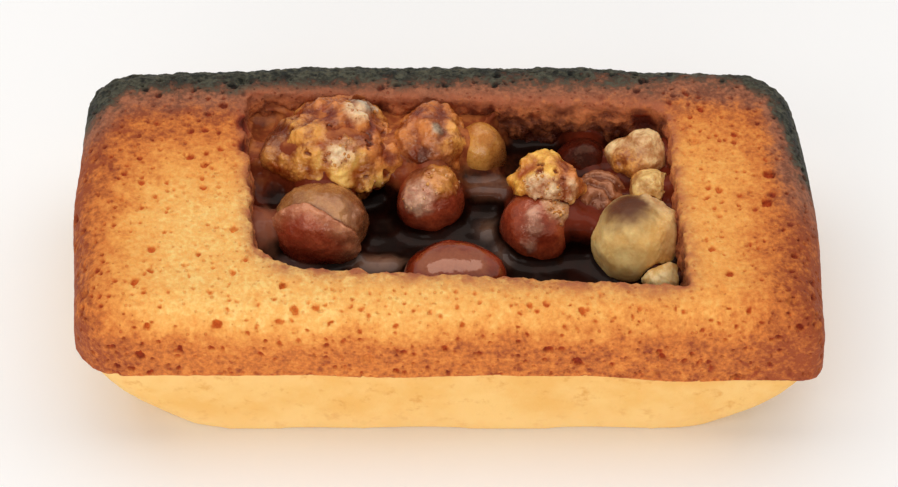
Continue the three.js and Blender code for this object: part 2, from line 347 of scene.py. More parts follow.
# Where the oven coloured the sponge: bands in millimetres in from each side and down from the top
bake = {
    "leftBand": (-1.0, 15.0),
    "rightBand": (1.0, 15.5),
    "backBand": (5.0, 30.0),
    "backLean": 0.1,
    "tiltBand": (-25.0, 40.0),
    "tiltToast": 0.3,
    "frontDrop": (0.2, 6.2),
    "frontToast": 0.72,
    "burntBack": (2.6, 15.5),
    "burntLean": 0.03,
    "burntDrop": (5.5, 12.0),
    "burntBelow": 0.4,
    "burntRight": (1.4, 9.0),
    "burntRightFrom": (-14.0, 10.0),
    "burntCorner": (5.0, 15.0),
    "burntLeft": (0.0, 7.5),
    "burntLeftFrom": (2.0, 20.0),
    "drift": 3.0,
    "driftScale": 0.1,
    "mottle": 2.6,
    "mottleScale": 0.4,
    "singeWander": 0.7,
}


def bakeZones():
    # masks of how browned and how burnt the sponge is
    group = bpy.data.node_groups.new("bakeZones", "ShaderNodeTree")
    for name in ("Toast", "Burnt"):
        group.interface.new_socket(name, in_out="OUTPUT", socket_type="NodeSocketFloat")
    place = objectPlace(group)
    drift = times(group, wobble(group, place, bake["driftScale"], 2.0), 2 * bake["drift"])
    mottle = times(group, wobble(group, place, bake["mottleScale"], 3.0), 2 * bake["mottle"])
    wander = plus(group, drift, mottle)
    singe = times(group, wander, bake["singeWander"])
    axes = axesOf(group, place)
    low = [value / millimetre for value in cadLow]
    high = [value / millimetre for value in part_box("cake")[1]]
    fromLeft = minus(group, axes[0], low[0])
    fromRight = minus(group, high[0], axes[0])
    fromBack = minus(group, high[1], axes[1])
    drop = minus(group, high[2], axes[2])
    toastLine = timesPlus(group, axes[0], bake["backLean"], fromBack)
    burntLine = timesPlus(group, axes[0], bake["burntLean"], fromBack)
    corner = addNode(group, "ShaderNodeCombineXYZ", {0: fromRight, 1: fromBack}).outputs[0]

    def band(distance, stray, limits, start=0.0, end=1.0):
        return softStep(group, plus(group, distance, stray), *limits, start, end)

    pale = band(fromLeft, wander, bake["leftBand"])
    for share in (band(fromRight, wander, bake["rightBand"]), band(toastLine, wander, bake["backBand"]),
                  band(axes[0], wander, bake["tiltBand"], 1.0, 1 - bake["tiltToast"]),
                  band(drop, singe, bake["frontDrop"], 1.0, 1 - bake["frontToast"])):
        pale = times(group, pale, share)
    burnt = band(burntLine, singe, bake["burntBack"], 1.0, 0.0)
    for side, distance in (("burntRight", fromRight), ("burntLeft", fromLeft)):
        near = band(distance, singe, bake[side], 1.0, 0.0)
        near = times(group, near, band(axes[1], singe, bake[side + "From"]))
        burnt = either(group, burnt, near)
    burnt = either(group, burnt, band(vectors(group, "LENGTH", corner), singe, bake["burntCorner"], 1.0, 0.0))
    # the sides below the rim are less burnt
    burnt = times(group, burnt, band(drop, wander, bake["burntDrop"], 1.0, bake["burntBelow"]))
    addNode(group, "NodeGroupOutput", {"Toast": minus(group, 1.0, pale), "Burnt": burnt})
    return group


crust = {
    "rimLevel": 14.0,
    "grain": 0.2,
    "softenRounds": 14,
    "triangles": 195000,
    "bigBubbles": (5.2, 0.1, 0.9),
    "bubbles": (2.2, 0.1, 0.62),
    "smallBubbles": (1.15, 0.07, 0.4),
    "bubbleDepth": 1.05,
    "edgeBubbles": 0.3,
    "bubbleWarp": 0.5,
    "bubbleShift": (23.7, 11.9, 5.6),
    "crumb": 0.25,
    "crumbScale": 0.6,
    "charCrumb": 3.4,
    "charFrom": (14.0, 23.0),
    "wallCrumb": 1.3,
    "wallCrumbScale": 0.35,
    "edgeCrumb": 1.9,
    "stainRounds": 220,
    "lipRounds": 100,
    "frontLip": 1.2,
    "frontLipLevels": (21.5, 25.2),
    "droop": 1.2,
    "droopFrom": (18.0, 36.0),
    "droopLevels": (14.5, 18.0),
    "patchScale": 0.5,
    "patchToast": 0.75,
    "fineScale": 1.5,
    "fineToast": 0.85,
    "spotScale": 0.5,
    "spotRadius": (0.1, 0.34),
    "spotChance": (0.45, 1.0),
    "spotToast": 0.25,
    # honey, gold, amber, orange and brown, by how toasted the crust is
    "toastRange": (0.8, 0.2),
    "toastStops": (
        (0.08, (255, 209, 126)),
        (0.22, (250, 188, 102)),
        (0.46, (241, 162, 77)),
        (0.74, (215, 123, 51)),
        (1.0, (156, 71, 29)),
    ),
    "burntRagged": 0.45,
    "singedFrom": (0.0, 0.45),
    "charredFrom": (0.42, 0.88),
    "burnt": (27, 29, 22),
    "ash": (87, 84, 67),
    "singed": (172, 107, 75),
    "scorched": (126, 70, 46),
    # tint inside bubbles in the char: partly its own colour, partly painted shade
    "charPit": (90, 84, 78),
    "wall": (206, 120, 70),
    "wallDeep": (140, 70, 42),
    "wallFade": (22.6, 25.2),
    "wallWet": (70, 24, 13),
    "wetLevels": (17.0, 24.5),
    "wallMargin": (1.5, 2.5),
    "soakScale": 0.35,
    "soakWander": 12.0,
    "roughness": (0.72, 0.25),
    "bump": (0.7, 0.4),
    "grainScale": 1.25,
    "dotScale": 1.1,
    "dotRadii": (0.02, 0.3),
    "dotShade": 0.6,
    "edge": (174, 98, 64),
    "edgeScale": 0.42,
    # tints inside the bubbles: partly the crumb's own colour, partly painted shade
    "palePit": (238, 188, 140),
    "darkPit": (208, 138, 98),
    # dark red inside the wall pits: partly their own colour, partly painted shade
    "wallPit": (96, 34, 18),
    # bubbles cut open in the hollow's walls: middle and radius in millimetres
    "wallPits": (
        ((-27.4, 11.4, 25.0), 2.2),
        ((-27.2, 7.2, 24.8), 2.1),
        ((-27.2, 5.6, 18.6), 2.2),
        ((27.6, 16.4, 21.8), 3.0),
        ((6.2, 16.4, 23.4), 1.3),
        ((9.8, 16.4, 23.9), 1.0),
        ((17.5, 16.4, 19.0), 2.2),
    ),
}


def toastedCrust(zones):
    material, tree, shader = newMaterial("toasted_crust")
    place = objectPlace(tree)
    zone = addNode(tree, "ShaderNodeGroup", node_tree=zones).outputs
    patchy = wobble(tree, place, crust["patchScale"], 4.0, 0.6)
    fine = wobble(tree, place, crust["fineScale"], 3.0, 0.6)
    uneven = plus(tree, times(tree, patchy, crust["patchToast"]), times(tree, fine, crust["fineToast"]))
    toast = plus(tree, zone["Toast"], uneven)
    # soft browner spots
    spots = cells(tree, place, crust["spotScale"])
    chance = axesOf(tree, spots.outputs["Color"])[2]
    spot = softStep(tree, spots.outputs["Distance"], *crust["spotRadius"], 1.0, 0.0)
    spot = times(tree, spot, softStep(tree, chance, *crust["spotChance"], 0.0, crust["spotToast"]))
    toast = plus(tree, toast, spot)
    ramp = addNode(tree, "ShaderNodeValToRGB", {0: timesPlus(tree, toast, *crust["toastRange"])})
    stops = ramp.color_ramp.elements
    stops.remove(stops[1])
    for index, (share, tone) in enumerate(crust["toastStops"]):
        stop = stops.new(share) if index else stops[0]
        stop.position = share
        stop.color = screenColour(*tone)
    colour = ramp.outputs["Color"]
    # towards the burnt rim the crust is singed, then charred
    ragged = times(tree, uneven, softStep(tree, zone["Burnt"], 0.0, 0.3, 0.0, crust["burntRagged"]))
    burnt = plus(tree, zone["Burnt"], ragged)
    singed = mixed(tree, softStep(tree, uneven, -0.2, 0.2), crust["singed"], crust["scorched"])
    colour = mixed(tree, softStep(tree, burnt, *crust["singedFrom"]), colour, singed)
    char = mixed(tree, softStep(tree, plus(tree, fine, patchy), -0.2, 0.3), crust["burnt"], crust["ash"])
    charred = softStep(tree, burnt, *crust["charredFrom"])
    colour = mixed(tree, charred, colour, char)
    # the hollow's edge is stained, and its walls are wet with caramel lower down
    stain = times(tree, attribute(tree, "stain"), softStep(tree, patchy, -0.2, 0.15, 0.3, 1.0))
    colour = mixed(tree, stain, colour, crust["edge"])
    wall = attribute(tree, "wall")
    height = axesOf(tree, place)[2]
    soaked = noise(tree, place, crust["soakScale"], 5.0, 0.65)
    wallTone = mixed(tree, softStep(tree, soaked, 0.38, 0.62), crust["wallDeep"], crust["wall"])
    level = timesPlus(tree, minus(tree, soaked, 0.5), crust["soakWander"], height)
    wet = times(tree, softStep(tree, level, *crust["wetLevels"], 1.0, 0.0), wall)
    bare = times(tree, wall, softStep(tree, height, *crust["wallFade"], 1.0, 0.2))
    colour = mixed(tree, bare, colour, wallTone)
    colour = mixed(tree, wet, colour, crust["wallWet"])
    # small bubbles show as darker dots; the tint in dots and bubbles is partly the crumb's own colour and
    # partly painted shade, deeper where a bubble is deeper and where the crust is browner
    dots = cells(tree, place, crust["dotScale"])
    size = axesOf(tree, dots.outputs["Color"])[1]
    reach = softStep(tree, size, 0.2, 1.0, *crust["dotRadii"])
    dot = softStep(tree, minus(tree, dots.outputs["Distance"], reach), -0.12, 0.02, crust["dotShade"], 0.0)
    pit = attribute(tree, "pit")
    depth = timesPlus(tree, pit, 0.45, minus(tree, toast, 0.1))
    pitTint = mixed(tree, depth, crust["palePit"], crust["darkPit"])
    pitTint = mixed(tree, charred, pitTint, crust["charPit"])
    colour = tinted(tree, larger(tree, pit, dot), colour, pitTint)
    # the wall pits painted dark red inside: partly their own colour, partly painted shade
    colour = mixed(tree, attribute(tree, "wallPit"), colour, crust["wallPit"])
    grain = cells(tree, place, crust["grainScale"], "SMOOTH_F1").outputs["Distance"]
    texture = plus(tree, noise(tree, place, 2.0, 4.0, 0.65), times(tree, grain, -0.6))
    setFinish(tree, shader, Base_Color=colour, Roughness=softStep(tree, wet, 0.0, 1.0, *crust["roughness"]),
              Normal=bumpy(tree, minus(tree, texture, dot), *crust["bump"]), Specular_IOR_Level=0.3,
              Subsurface_Weight=0.15, Subsurface_Radius=(1.0, 0.45, 0.2), Subsurface_Scale=0.8 * millimetre)
    return material


def crustTree():
    tree, given = newTree("crustRelief", {"Bubble depth": "Float", "Crumb": "Float", "Wall crumb": "Float",
                                          "Edge crumb": "Float", "Finish": "Material"})
    place = millimetrePlace(tree)
    normal = addNode(tree, "GeometryNodeInputNormal").outputs[0]
    stray = wobbleVector(tree, place, 0.8, 2.0)
    warped = vectors(tree, "ADD", place, scaled(tree, stray, 2 * crust["bubbleWarp"]))
    bubblePlace = vectors(tree, "ADD", warped, crust["bubbleShift"])
    # the walls of the hollow stand over the caramel's own area
    low, high = [[value / millimetre for value in corner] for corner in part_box("caramel")]
    axes = axesOf(tree, place)
    upright = axesOf(tree, normal)[2]
    wall = softStep(tree, upright, 0.35, 0.75, 1.0, 0.0)
    least, most = crust["wallMargin"]
    for axis in (0, 1):
        inside = softStep(tree, axes[axis], low[axis] - most, low[axis] - least)
        wall = times(tree, wall, inside)
        inside = softStep(tree, axes[axis], high[axis] + least, high[axis] + most, 1.0, 0.0)
        wall = times(tree, wall, inside)
    near = blurred(tree, wall, crust["stainRounds"])
    stain = softStep(tree, near, 0.02, 0.5)
    depth = bubbleDepth(tree, bubblePlace, *crust["bigBubbles"])
    for layer in ("bubbles", "smallBubbles"):
        depth = larger(tree, depth, bubbleDepth(tree, bubblePlace, *crust[layer]))
    # few bubbles open right at the hollow's edge
    depth = times(tree, depth, softStep(tree, near, 0.03, 0.3, 1.0, crust["edgeBubbles"]))
    depth = times(tree, depth, given["Bubble depth"])
    wallPit = 0.0
    for middle, radius in crust["wallPits"]:
        away = vectors(tree, "LENGTH", vectors(tree, "SUBTRACT", warped, middle))
        wallPit = larger(tree, wallPit, softStep(tree, away, 0.0, radius, 0.7 * radius, 0.0))
    depth = larger(tree, depth, wallPit)
    crumb = wobble(tree, place, crust["crumbScale"], 2.0, 0.6)
    crumb = times(tree, crumb, softStep(tree, axes[1], *crust["charFrom"], 1.0, 1 + crust["charCrumb"]))
    rough = wobble(tree, place, crust["wallCrumbScale"], 5.0, 0.6)
    # the walls are smoother up at the edge
    rough = times(tree, rough, softStep(tree, axes[2], *crust["wallFade"], 1.0, 0.15))
    height = minus(tree, times(tree, crumb, given["Crumb"]), depth)
    height = plus(tree, height, times(tree, times(tree, rough, given["Wall crumb"]), wall))
    ragged = minus(tree, noise(tree, place, crust["edgeScale"], 2.5, 0.55), 0.55)
    height = plus(tree, height, times(tree, times(tree, ragged, given["Edge crumb"]), stain))
    # the front edge hangs over a little
    inward = axesOf(tree, normal)[1]
    frontWall = times(tree, wall, softStep(tree, inward, 0.2, 0.7))
    lip = blurred(tree, frontWall, crust["lipRounds"])
    overhang = 2 * crust["frontLip"] * millimetre
    lip = times(tree, lip, softStep(tree, axes[2], *crust["frontLipLevels"], 0.0, overhang))
    geometry = stored(tree, given["Geometry"], "pit", softStep(tree, depth, 0.02, 0.4))
    geometry = stored(tree, geometry, "wall", softStep(tree, near, 0.35, 0.8))
    geometry = stored(tree, geometry, "stain", stain)
    geometry = stored(tree, geometry, "wallPit", softStep(tree, wallPit, 0.1, 0.8))
    # the rim hangs lower towards the right end
    droop = times(tree, softStep(tree, axes[0], *crust["droopFrom"], 0.0, -crust["droop"] * millimetre),
                  softStep(tree, axes[2], *crust["droopLevels"], 1.0, 0.0))
    offset = addNode(tree, "ShaderNodeCombineXYZ", {1: lip, 2: droop}).outputs[0]
    geometry = moved(tree, geometry, offset)
    closeTree(tree, pushed(tree, geometry, height), given["Finish"])
    return tree


zones = bakeZones()
crustPiece = mergedCopy("cake", "sponge_crust")
cutAway(crustPiece, (0, 0, crust["rimLevel"] * millimetre), (0, 0, -1))
fineSkin(crustPiece, crust["grain"], crust["softenRounds"])
shaped(crustPiece, crustTree(), {"Bubble depth": crust["bubbleDepth"], "Crumb": crust["crumb"],
                                 "Wall crumb": crust["wallCrumb"], "Edge crumb": crust["edgeCrumb"],
                                 "Finish": toastedCrust(zones)}, crust["triangles"])
print("crust made")


foot = {
    "grain": 0.45,
    "softenRounds": 6,
    "triangles": 60000,
    "dimples": (2.2, 0.0, 0.4),
    "dimpleDepth": 0.2,
    "crumb": 0.12,
    "crumbScale": 0.5,
    "cream": (240, 196, 122),
    "gold": (234, 181, 100),
    "driftScale": 0.12,
    "spot": (218, 154, 76),
    "spotScale": 0.45,
    "spotShade": 0.8,
    "dimpleShade": 0.3,
    "base": (248, 210, 142),
    "baseLevels": (0.0, 7.0),
    "baseShade": 0.6,
    "bump": (0.3, 0.1),
}


def paleSponge():
    material, tree, shader = newMaterial("pale_sponge")
    place = objectPlace(tree)
    drift = noise(tree, place, foot["driftScale"], 4.0, 0.62)
    colour = mixed(tree, softStep(tree, drift, 0.34, 0.66), foot["gold"], foot["cream"])
    spots = softStep(tree, noise(tree, place, foot["spotScale"], 4.0, 0.65), 0.52, 0.75, 0.0, foot["spotShade"])
    colour = mixed(tree, spots, colour, foot["spot"])
    colour = mixed(tree, times(tree, attribute(tree, "pit"), foot["dimpleShade"]), colour, foot["spot"])
    # paler towards the base
    height = axesOf(tree, place)[2]
    low = softStep(tree, height, *foot["baseLevels"], foot["baseShade"], 0.0)
    colour = mixed(tree, low, colour, foot["base"])
    texture = noise(tree, place, 3.0, 3.0, 0.6)
    setFinish(tree, shader, Base_Color=colour, Normal=bumpy(tree, texture, *foot["bump"]), Roughness=0.7,
              Specular_IOR_Level=0.3, Subsurface_Weight=0.2, Subsurface_Radius=(1.0, 0.5, 0.22),
              Subsurface_Scale=1.0 * millimetre)
    return material


def footTree():
    tree, given = newTree("footRelief", {"Dimple depth": "Float", "Crumb": "Float", "Finish": "Material"})
    place = millimetrePlace(tree)
    depth = times(tree, bubbleDepth(tree, place, *foot["dimples"]), given["Dimple depth"])
    crumb = wobble(tree, place, foot["crumbScale"], 3.0, 0.55)
    height = minus(tree, times(tree, crumb, given["Crumb"]), depth)
    # the face on the table stays flat
    lift = axesOf(tree, place)[2]
    height = times(tree, height, softStep(tree, lift, 0.2, 1.0))
    geometry = stored(tree, given["Geometry"], "pit", softStep(tree, depth, 0.01, 0.12))
    closeTree(tree, pushed(tree, geometry, height), given["Finish"])
    return tree


footPiece = mergedCopy("cake", "sponge_foot")
cutAway(footPiece, (0, 0, crust["rimLevel"] * millimetre), (0, 0, 1))
fineSkin(footPiece, foot["grain"], foot["softenRounds"])
shaped(footPiece, footTree(), {"Dimple depth": foot["dimpleDepth"], "Crumb": foot["crumb"],
                               "Finish": paleSponge()}, foot["triangles"])
print("foot made")


# Tones from deep to light
redGlaze = ((124, 42, 24), (178, 82, 50))
# hazelnut glaze darkened as painted shade, for the nut in the back wall's shadow
shadowedBackGlaze = ((48, 12, 6), (88, 26, 13))
brownGlaze = ((112, 54, 30), (168, 98, 58))
orangeGlaze = ((150, 74, 32), (212, 128, 60))
golden = ((156, 84, 34), (228, 160, 76))
yellow = ((208, 138, 54), (248, 202, 110))
crystal = ((198, 138, 88), (244, 214, 170))
pinkCrystal = ((168, 100, 74), (230, 190, 160))
# pale glaze tones painted as a highlight on the front nut
paintedTopHighlight = ((138, 72, 46), (160, 92, 62))
# pale tones painted as a highlight streak on the right nut
paintedStreakHighlight = ((150, 96, 76), (206, 156, 132))
greyCrystal = ((112, 92, 72), (200, 182, 156))
flesh = ((148, 94, 52), (192, 140, 86))
peeled = ((234, 178, 98), (254, 220, 146))
cream = ((198, 142, 86), (242, 208, 152))


def dab(at, size, tones, rise=0.0, lump=0.0, soft=1.0, crumbs=0.0, folds=0.0):
    # a patch round a place in millimetres: its tones, how it rises and how lumpy, crumbly and folded it is
    return {"at": at, "size": size, "tones": tones, "rise": rise, "lump": lump, "soft": soft, "crumbs": crumbs,
            "folds": folds}


def peelDab(edge, tones, rise=0.0, lump=0.1):
    # all of the split nut behind an edge, given as a share of the way from its middle
    return {"edge": edge, "tones": tones, "rise": rise, "lump": lump, "crumbs": 0.0, "folds": 0.0}


# Where the split nut has lost its skin
peel = {
    "middle": (-17.08, -1.0, 18.4),
    "half": (7.5, 6.3, 6.1),
    "facing": (0.3, 0.954, 0.0),
    "waveHeight": 0.08,
    "waves": (4.8, 0.5, 0.0),
    "ragged": 0.012,
}

nuts = {
    "hazelnut_front": {"slot": "hazelnut", "skin": ((104, 31, 15), (150, 60, 32)),
                       "own": {"coat": 1.0, "ripple": 0.12}, "dabs": (
                           # painted highlight: pale tones where the overhead light is mirrored on the nut's top
                           dab((-2.0, -11.7, 22.0), 2.0, paintedTopHighlight, soft=0.6),
                           dab((1.0, -11.5, 22.7), 2.0, paintedTopHighlight, soft=0.6),
                           dab((4.0, -11.7, 22.0), 2.0, paintedTopHighlight, soft=0.6))},
    "hazelnut_split": {"slot": "split_hazelnut", "skin": ((150, 54, 32), (184, 88, 56)), "dabs": (
        peelDab((-0.82, -0.5), ((166, 92, 60), (208, 142, 102)), rise=0.35, lump=0.4),
        # painted shade: a sunk dark band along the groove under the skin's edge
        peelDab((-0.45, -0.38), ((90, 45, 25), (116, 62, 36)), rise=-0.65, lump=-0.3),
        peelDab((-0.40, -0.28), flesh),
        dab((-10.6, -1.6, 20.0), 4.2, ((112, 62, 36), (150, 94, 58)), soft=1.8))},
    "hazelnut_centre": {"slot": "hazelnut", "skin": redGlaze, "dabs": (
        dab((-3.0, 4.0, 23.4), 3.6, brownGlaze),
        dab((-0.4, 3.0, 23.2), 2.6, golden, rise=0.3, lump=0.9, soft=0.9, crumbs=0.35),
        dab((-4.0, 0.7, 21.6), 2.3, pinkCrystal, rise=0.2, lump=0.7, soft=0.9, crumbs=0.15))},
    "hazelnut_right": {"slot": "hazelnut", "skin": redGlaze, "dabs": (
        dab((15.6, -1.2, 22.2), 2.4, crystal, rise=0.3, lump=0.7, soft=0.8, crumbs=1.0),
        # painted highlight: a streak of pale tones down the nut's front
        dab((11.8, -3.2, 22.3), 1.0, paintedStreakHighlight, rise=0.15, soft=0.6),
        dab((12.2, -4.8, 21.1), 1.1, paintedStreakHighlight, rise=0.15, soft=0.6),
        dab((11.4, -6.0, 19.2), 0.9, paintedStreakHighlight, rise=0.15, soft=0.6))},
    "hazelnut_side": {"slot": "hazelnut", "skin": ((100, 34, 18), (140, 60, 34)),
                      "own": {"coat": 0.15}, "dabs": (
                          dab((21.4, 3.4, 21.2), 4.0, ((110, 56, 34), (154, 94, 60)), rise=0.3, folds=0.28),)},
    # the back nut's darker glaze is painted shade from the back wall
    "hazelnut_back": {"slot": "hazelnut", "skin": shadowedBackGlaze, "own": {"coat": 0.0, "gloss": 0.3}, "dabs": ()},
    "blanched_nut": {"slot": "blanched_nut", "skin": peeled, "dabs": (
        # a soft brown patch on the top: partly caramel, partly painted shade
        dab((24.4, -3.2, 25.0), 4.3, ((84, 42, 23), (108, 60, 36)), soft=2.5),
        dab((29.4, -1.6, 23.0), 2.8, cream, rise=0.3, lump=0.5),
        dab((31.2, -6.0, 20.4), 3.8, ((214, 158, 88), (246, 208, 138)), rise=0.4, soft=0.8))},
    "almond": {"slot": "almond", "skin": ((184, 114, 46), (222, 162, 78)), "dabs": (
        dab((4.2, 11.6, 21.0), 6.0, ((184, 114, 46), (222, 162, 78)), rise=0.5, soft=2.0),
        dab((7.8, 11.0, 20.0), 3.4, ((116, 68, 32), (158, 100, 48)), soft=1.5),)},
    "praline_left": {"slot": "praline", "skin": golden, "dabs": (
        dab((-15.0, 13.4, 27.3), 5.5, orangeGlaze, soft=2.0),
        dab((-8.6, 8.4, 24.7), 4.0, orangeGlaze, soft=1.5),
        dab((-24.0, 10.4, 22.2), 4.0, brownGlaze, soft=2.0),
        dab((-14.5, 3.4, 24.6), 3.4, yellow, lump=0.3),
        dab((-14.6, 5.2, 26.2), 2.0, crystal, rise=0.3, lump=0.5, soft=0.7, crumbs=1.0),
        dab((-11.6, 14.0, 25.8), 1.9, greyCrystal, rise=0.35, lump=0.5, soft=0.7, crumbs=0.5),
        dab((-12.6, 11.0, 27.1), 1.7, crystal, rise=0.3, lump=0.5, soft=0.7, crumbs=1.0),
        dab((-9.7, 3.9, 20.6), 1.5, yellow, rise=0.4, lump=0.5, soft=0.7, crumbs=0.5))},
    "praline_centre": {"slot": "praline", "skin": orangeGlaze, "dabs": (
        dab((-3.0, 6.0, 22.5), 3.6, brownGlaze, soft=2.0),
        dab((1.4, 9.0, 25.0), 2.6, golden, soft=1.2),
        dab((-1.0, 9.0, 26.4), 0.8, greyCrystal, rise=0.1, lump=0.3, soft=0.5))},
    "praline_right": {"slot": "praline", "skin": ((212, 134, 46), (250, 194, 88)), "dabs": (
        dab((17.2, 3.0, 23.6), 3.0, orangeGlaze, lump=0.4),
        dab((12.8, -0.2, 24.2), 1.9, crystal, rise=0.2, lump=0.6, soft=0.8, crumbs=1.0),
        dab((15.8, -0.6, 23.4), 2.2, crystal, rise=0.3, lump=0.6, soft=0.8, crumbs=1.0))},
    "nut_piece": {"slot": "chopped_nut", "skin": cream, "dabs": (
        dab((24.6, 6.6, 21.5), 2.6, golden),)},
    "nut_chip": {"slot": "chopped_nut", "skin": ((208, 158, 86), (246, 212, 138)), "dabs": (
        dab((25.8, 4.6, 20.6), 1.8, golden),)},
    "nut_flake": {"slot": "chopped_nut", "skin": ((222, 178, 106), (248, 220, 160)),
                  "own": {"lump": 0.4, "fine": 0.2, "holes": (2.6, 0.3)}, "dabs": ()},
}

# How each kind of topping is worked: size of its faces, relief in millimetres, gloss, how its tones mix,
# and how its lower part darkens, partly caramel stain and partly painted shade
kinds = {
    "hazelnut": {"grain": 0.2, "rounds": 40, "triangles": 20000,
                 "swell": 0.5, "lump": 0.2, "lumpSize": 3.2, "fine": 0.08, "holes": (5.0, 0.01),
                 "roughness": 0.16, "coat": 0.4, "gloss": 1.0, "sheen": (1.0, 0.55, 0.36),
                 "mottle": 0.3, "tones": (0.3, 0.75),
                 "stainAndShadeLevels": (14.5, 19.0), "stainAndShadeTint": (116, 60, 48)},
    "split_hazelnut": {"grain": 0.17, "rounds": 24, "triangles": 40000,
                       "swell": 0.7, "lump": 0.3, "lumpSize": 2.6, "fine": 0.12, "holes": (5.0, 0.01),
                       "roughness": 0.24, "coat": 0.4, "gloss": 0.8, "sheen": (1.0, 0.6, 0.42),
                       "mottle": 0.35, "tones": (0.3, 0.7),
                       "stainAndShadeLevels": (14.0, 19.0), "stainAndShadeTint": (146, 78, 62)},
    "blanched_nut": {"grain": 0.18, "rounds": 110, "triangles": 26000,
                     "swell": 1.0, "lump": 0.35, "lumpSize": 3.4, "fine": 0.08, "holes": (5.0, 0.01),
                     "roughness": 0.42, "coat": 0.05, "gloss": 0.3, "sheen": (1.0, 0.85, 0.66),
                     "mottle": 0.25, "tones": (0.3, 0.7),
                     "stainAndShadeLevels": (13.0, 17.0), "stainAndShadeTint": (170, 116, 76)},
    "almond": {"grain": 0.16, "rounds": 40, "triangles": 15000,
               "swell": 0.5, "lump": 0.25, "lumpSize": 2.4, "fine": 0.08, "holes": (5.0, 0.01),
               "roughness": 0.3, "coat": 0.4, "gloss": 0.7, "sheen": (1.0, 0.75, 0.5),
               "mottle": 0.3, "tones": (0.3, 0.7),
               "stainAndShadeLevels": (16.5, 22.5), "stainAndShadeTint": (128, 66, 42)},
    "praline": {"grain": 0.16, "rounds": 6, "triangles": 60000,
                "swell": 2.2, "lump": 1.3, "lumpSize": 2.1, "fine": 0.6, "holes": (2.6, 0.8),
                "roughness": 0.32, "coat": 0.2, "gloss": 0.6, "sheen": (1.0, 0.78, 0.6),
                "mottle": 0.5, "tones": (0.36, 0.64),
                "stainAndShadeLevels": (15.5, 21.0), "stainAndShadeTint": (120, 60, 40)},
    "chopped_nut": {"grain": 0.13, "rounds": 3, "triangles": 24000,
                    "swell": 2.4, "lump": 0.7, "lumpSize": 1.9, "fine": 0.35, "holes": (2.6, 0.5), "bend": 1.4,
                    "roughness": 0.4, "coat": 0.3, "gloss": 0.6, "sheen": (1.0, 0.8, 0.62),
                    "mottle": 0.6, "tones": (0.36, 0.64),
                    "stainAndShadeLevels": (15.0, 18.5), "stainAndShadeTint": (170, 110, 74)},
}
# What all toppings share
toppingDetail = {
    # tints for holes and crevices: painted shade
    "pit": (150, 88, 58),
    "crevice": (186, 122, 78),
    "foldSpacing": 1.5,
    "foldsAcross": (0.25, 0.77, -0.59),
    "fineScale": 2.4,
    "soakWander": 4.0,
    "ripple": 0.35,
    "rippleDepth": 0.4,
    "coatTint": (1.0, 0.86, 0.74, 1.0),
}


def toppingFinish(name, look, kind):
    material, tree, shader = newMaterial(name + "_finish")
    place = objectPlace(tree)
    broad = noise(tree, place, kind["mottle"], 5.0, 0.62)
    fine = noise(tree, place, toppingDetail["fineScale"], 3.0, 0.6)
    tone = plus(tree, times(tree, broad, 0.8), times(tree, fine, 0.2))
    # painted light and shade from the relief: lump tops and fold crests lighter, dips darker
    tone = softStep(tree, timesPlus(tree, attribute(tree, "lump"), 0.25, tone), *kind["tones"])
    colour = mixed(tree, tone, *look["skin"])
    for index, patch in enumerate(look["dabs"]):
        paint = mixed(tree, tone, *patch["tones"])
        colour = mixed(tree, attribute(tree, f"dab{index}"), colour, paint)
    # painted shade: holes and crevices darkened
    for hollow in ("pit", "crevice"):
        colour = tinted(tree, attribute(tree, hollow), colour, toppingDetail[hollow])
    # darker lower down: partly stained by the caramel, partly painted shade
    height = axesOf(tree, place)[2]
    level = timesPlus(tree, minus(tree, broad, 0.5), toppingDetail["soakWander"], height)
    colour = tinted(tree, softStep(tree, level, *kind["stainAndShadeLevels"], 1.0, 0.0), colour, kind["stainAndShadeTint"])
    gloss = softStep(tree, fine, 0.3, 0.7, kind["roughness"] * 0.7, kind["roughness"] * 1.3)
    ripple = timesPlus(tree, noise(tree, place, 3.5, 3.0, 0.55), 0.2, noise(tree, place, 0.8, 2.0))
    rippled = bumpy(tree, ripple, kind.get("ripple", toppingDetail["ripple"]), toppingDetail["rippleDepth"])
    setFinish(tree, shader, Base_Color=colour, Roughness=gloss, Normal=rippled, Coat_Normal=rippled,
              Coat_Weight=kind["coat"], Coat_Roughness=0.06, Coat_Tint=toppingDetail["coatTint"],
              Specular_Tint=(*kind["sheen"], 1.0), Specular_IOR_Level=kind["gloss"], Subsurface_Weight=0.12,
              Subsurface_Radius=(1.0, 0.4, 0.15), Subsurface_Scale=0.8 * millimetre)
    return material


def peelShare(tree, place, ragged):
    # how far a place lies towards the split nut's bare side
    away = vectors(tree, "DIVIDE", vectors(tree, "SUBTRACT", place, peel["middle"]), peel["half"])
    direction = vectors(tree, "NORMALIZE", away)
    wave = maths(tree, "SINE", vectors(tree, "DOT_PRODUCT", direction, peel["waves"]))
    share = vectors(tree, "DOT_PRODUCT", direction, peel["facing"])
    share = timesPlus(tree, wave, peel["waveHeight"], share)
    stray = axesOf(tree, ragged)[0]
    return timesPlus(tree, stray, 10 * peel["ragged"], share)


